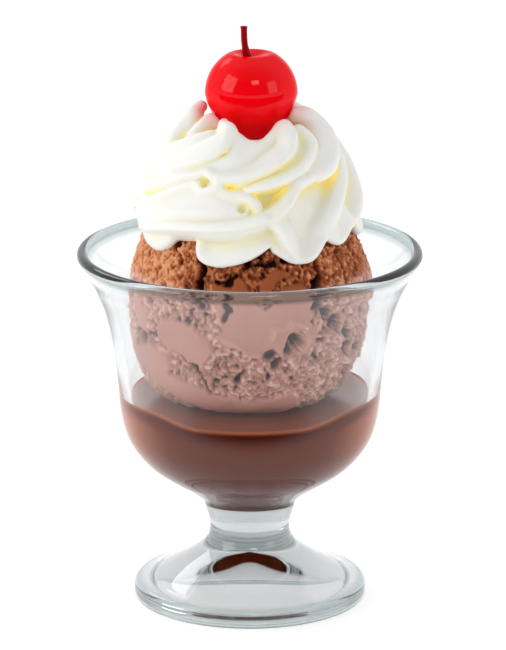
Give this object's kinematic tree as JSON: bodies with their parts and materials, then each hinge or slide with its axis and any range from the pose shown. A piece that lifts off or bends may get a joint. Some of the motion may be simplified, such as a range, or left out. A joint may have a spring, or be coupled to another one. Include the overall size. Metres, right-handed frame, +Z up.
{
  "type": "hot fudge sundae in a footed glass",
  "caption": "Chocolate ice cream scoop on hot fudge in a clear footed dessert glass, topped with piped whipped cream and a glazed cherry.",
  "frame": {"origin": "centre of the foot's standing ring, on the surface the glass stands on", "axes": "+Z up along the glass's axis; -Y is the front, the side with the long sweeping lip of cream; +X to the right seen from the front"},
  "size_m": [0.09, 0.09, 0.1531],
  "materials": {
    "clear_glass": "clear pressed glass, polished",
    "hot_fudge": "smooth, glossy cooked chocolate sauce",
    "chocolate_ice_cream": "grainy where the scoop tore it, smeared smooth where it slid",
    "whipped_cream": "soft satin dairy cream",
    "glazed_cherry": "wet, translucent sugar glaze",
    "cherry_stem": "damp, dyed red"
  },
  "bodies": {
    "root": {"glass": "clear_glass", "fudge": "hot_fudge", "ice_cream": "chocolate_ice_cream", "whipped_cream": "whipped_cream", "cherry": "glazed_cherry", "cherry_stem": "cherry_stem"}
  },
  "joints": []
}
